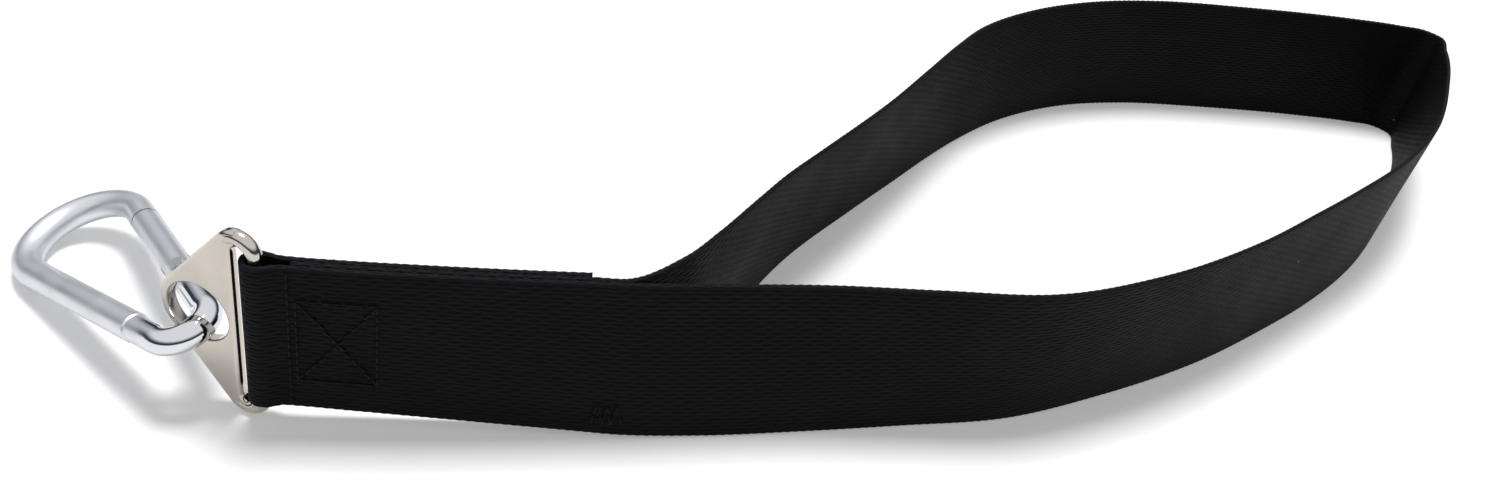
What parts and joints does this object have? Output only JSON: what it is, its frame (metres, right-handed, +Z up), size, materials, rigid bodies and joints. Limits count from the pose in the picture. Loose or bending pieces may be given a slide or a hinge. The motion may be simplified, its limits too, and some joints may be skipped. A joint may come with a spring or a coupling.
{
  "type": "webbing hand loop with snap hook",
  "caption": "Flat webbing loop sewn round a slotted triangle plate, with a spring-gated snap hook in the plate's eye; clips a hand or arm loop to an exercise line.",
  "frame": {"origin": "on the surface that the object stands on, under the middle of its overall box", "axes": "+X along the loop, from the hook end to the far bend; +Y across the loop; +Z up, across the webbing's width, which stands on edge"},
  "size_m": [0.5504, 0.1598, 0.059],
  "materials": {
    "webbing": "ribbed woven polyester webbing",
    "thread": "bonded sewing thread",
    "nickel_plate": "nickel plated casting, satin faces and polished rims",
    "zinc_steel": "bright zinc plated steel wire",
    "zinc_steel_gate": "bright zinc plated steel",
    "rivet_steel": "turned steel",
    "spring_steel": "drawn spring wire"
  },
  "bodies": {
    "strap": {"webbing_strap": "webbing", "fold_stitch": "thread", "box_x_stitch": "thread", "bar_tack": "thread"},
    "plate": {"triangle_plate": "nickel_plate"},
    "hook": {"hook_frame": "zinc_steel"},
    "gate": {"gate": "zinc_steel_gate", "gate_rivet": "rivet_steel", "gate_spring": "spring_steel"},
    "plunger": {"spring_plunger": "rivet_steel"}
  },
  "joints": [
    {"name": "plate_swing", "type": "hinge", "parent": "strap", "child": "plate", "pos_m": [-0.22143, -0.01467, 0.0295], "axis": [0, 0, 1], "range_deg": [-50, 100]},
    {"name": "hook_swing", "type": "hinge", "parent": "plate", "child": "hook", "pos_m": [-0.23289, -0.00259, 0.0295], "axis": [0.7254, 0.6884, 0], "range_deg": [-35, 65]},
    {"name": "gate_swing", "type": "hinge", "parent": "hook", "child": "gate", "pos_m": [-0.2346, 0.02154, 0.02158], "axis": [-0.3323, 0.1112, 0.9366], "range_deg": [0, 30], "stiffness_Nm_per_rad": 0.3, "springref_deg": -28.65},
    {"name": "plunger_slide", "type": "slide", "parent": "gate", "child": "plunger", "axis": [-0.1632, 0.9713, -0.1733], "range_m": [0, 0.0014], "deforming": ["gate_spring"]}
  ],
  "couplings": [
    {"joint": "plunger_slide", "follows": "gate_swing", "m_per_rad": 0.0026}
  ]
}
